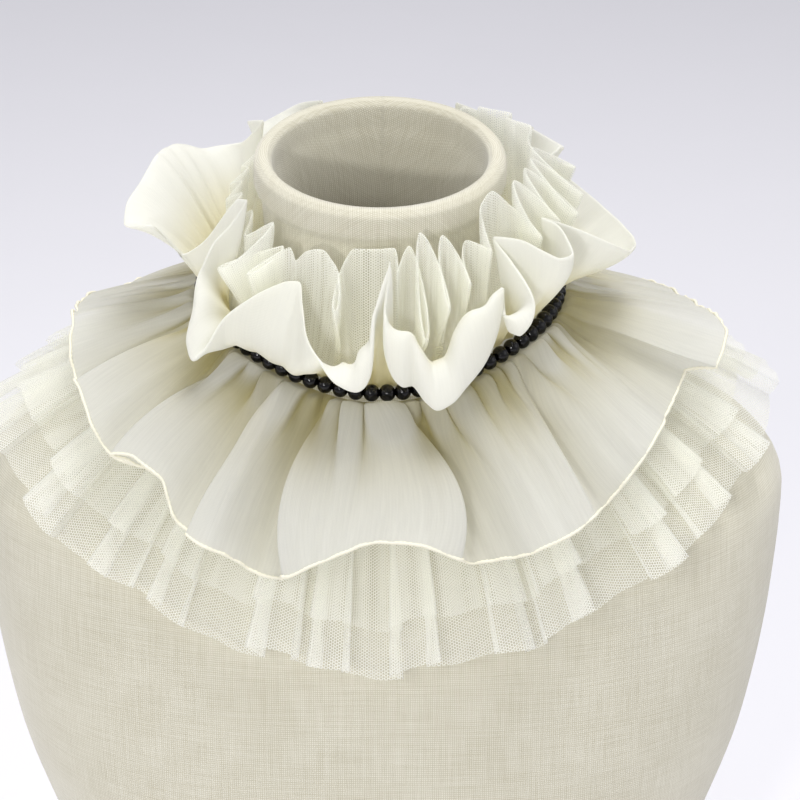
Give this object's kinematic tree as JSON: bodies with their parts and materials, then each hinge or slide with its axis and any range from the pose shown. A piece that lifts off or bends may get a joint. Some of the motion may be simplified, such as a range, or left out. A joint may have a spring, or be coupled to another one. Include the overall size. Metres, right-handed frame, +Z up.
{
  "type": "detachable ruffled collar on a dress form",
  "caption": "Detachable collar of gathered chiffon and net ruffles with a bead strand on its seam, resting on a hollow-necked linen dress form.",
  "frame": {"origin": "middle of the flat underside of the dress form's base", "axes": "+Z up, the collar's front faces -Y, +X to the right of someone facing it"},
  "size_m": [0.35, 0.2731, 0.4471],
  "materials": {
    "linen": "plain-woven natural linen drawn tight over the form",
    "board": "plain board, waxed",
    "chiffon": "ivory chiffon, sheer where single, opaque where doubled",
    "net": "ivory net, see-through",
    "beads": "polished black round beads",
    "wire": "nickel-plated wire"
  },
  "bodies": {
    "root": {"form_front": "linen", "form_back": "linen", "form_base": "board", "neck_band": "chiffon", "lower_net_long": "net", "lower_net_short": "net", "lower_chiffon_flounce": "chiffon", "bead_strand": "beads", "upper_net_ruffle": "net", "upper_chiffon_ruffle": "chiffon", "closure_hook": "wire", "closure_eye": "wire"}
  },
  "joints": []
}
